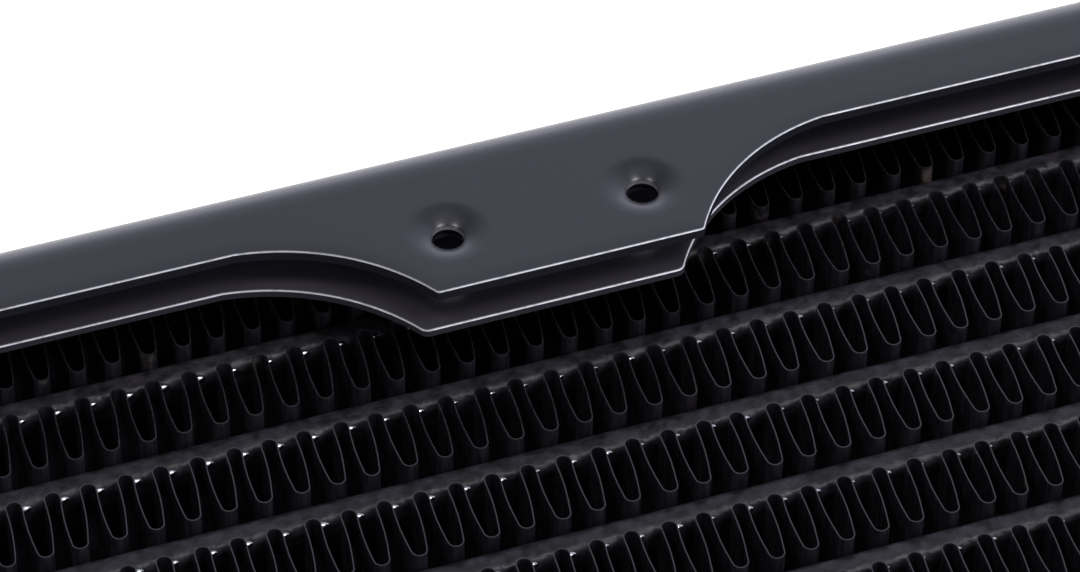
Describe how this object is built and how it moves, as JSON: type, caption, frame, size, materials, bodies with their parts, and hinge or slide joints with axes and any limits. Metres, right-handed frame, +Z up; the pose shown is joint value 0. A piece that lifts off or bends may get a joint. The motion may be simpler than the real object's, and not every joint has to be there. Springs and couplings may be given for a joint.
{
  "type": "liquid cooling radiator",
  "caption": "Painted metal radiator with scalloped fan flanges, a folded fin and flat tube core, end tanks and threaded hose ports closed by screw plugs.",
  "frame": {"origin": "centre of the bounding box's lowest face, with the radiator lying flat on its lower fan flanges", "axes": "+X along the tubes towards the tank with the hose ports, +Y across the tubes towards the left side shell, +Z up out of the upper fan face"},
  "size_m": [0.2868, 0.127, 0.046],
  "materials": {
    "shell_paint": "satin black paint, faint grain, worn bright on cut edges",
    "guard_paint": "satin black paint in shade",
    "tank_paint": "satin black paint",
    "tube_paint": "thin rough black paint over brass tube",
    "fin_paint": "thin black paint over copper foil",
    "header_brass": "black painted brass with solder fillets",
    "baffle_brass": "bare rolled brass",
    "port_brass": "bare machined brass, black painted outside",
    "plug_metal": "black plated turned brass",
    "seal_rubber": "matt black moulded rubber"
  },
  "bodies": {
    "radiator": {"side_shell_left": "shell_paint", "side_shell_right": "shell_paint", "screw_guard_left": "guard_paint", "screw_guard_right": "guard_paint", "tube_01": "tube_paint", "tube_02": "tube_paint", "tube_03": "tube_paint", "tube_04": "tube_paint", "tube_05": "tube_paint", "tube_06": "tube_paint", "tube_07": "tube_paint", "tube_08": "tube_paint", "tube_09": "tube_paint", "tube_10": "tube_paint", "tube_11": "tube_paint", "tube_12": "tube_paint", "tube_13": "tube_paint", "tube_14": "tube_paint", "fin_01": "fin_paint", "fin_02": "fin_paint", "fin_03": "fin_paint", "fin_04": "fin_paint", "fin_05": "fin_paint", "fin_06": "fin_paint", "fin_07": "fin_paint", "fin_08": "fin_paint", "fin_09": "fin_paint", "fin_10": "fin_paint", "fin_11": "fin_paint", "fin_12": "fin_paint", "fin_13": "fin_paint", "fin_14": "fin_paint", "fin_15": "fin_paint", "header_plate_port": "header_brass", "header_plate_return": "header_brass", "tank_port": "tank_paint", "tank_return": "tank_paint", "baffle": "baffle_brass", "port_top_left": "port_brass", "port_top_right": "port_brass", "port_side_left": "port_brass", "port_side_right": "port_brass", "port_bleed": "port_brass"},
    "seal_side_left": {"seal_side_left": "seal_rubber"},
    "plug_side_left": {"plug_side_left": "plug_metal"},
    "seal_side_right": {"seal_side_right": "seal_rubber"},
    "plug_side_right": {"plug_side_right": "plug_metal"},
    "seal_bleed": {"seal_bleed": "seal_rubber"},
    "plug_bleed": {"plug_bleed": "plug_metal"}
  },
  "joints": [
    {"name": "side_left_plug_lift", "type": "slide", "parent": "radiator", "child": "seal_side_left", "axis": [0, 1, 0], "range_m": [0, 0.0067]},
    {"name": "side_left_plug_turn", "type": "hinge", "parent": "seal_side_left", "child": "plug_side_left", "pos_m": [0.131, 0.0594, 0.023], "axis": [0, 1, 0], "range_deg": [0, 1800]},
    {"name": "side_right_plug_lift", "type": "slide", "parent": "radiator", "child": "seal_side_right", "axis": [0, -1, 0], "range_m": [0, 0.0067]},
    {"name": "side_right_plug_turn", "type": "hinge", "parent": "seal_side_right", "child": "plug_side_right", "pos_m": [0.131, -0.0594, 0.023], "axis": [0, -1, 0], "range_deg": [0, 1800]},
    {"name": "bleed_plug_lift", "type": "slide", "parent": "radiator", "child": "seal_bleed", "axis": [-1, 0, 0], "range_m": [0, 0.0067]},
    {"name": "bleed_plug_turn", "type": "hinge", "parent": "seal_bleed", "child": "plug_bleed", "pos_m": [-0.13942, 0, 0.023], "axis": [-1, 0, 0], "range_deg": [0, 1800]}
  ],
  "couplings": [
    {"joint": "side_left_plug_lift", "follows": "side_left_plug_turn", "m_per_rad": 0.00021279},
    {"joint": "side_right_plug_lift", "follows": "side_right_plug_turn", "m_per_rad": 0.00021279},
    {"joint": "bleed_plug_lift", "follows": "bleed_plug_turn", "m_per_rad": 0.00021279}
  ]
}
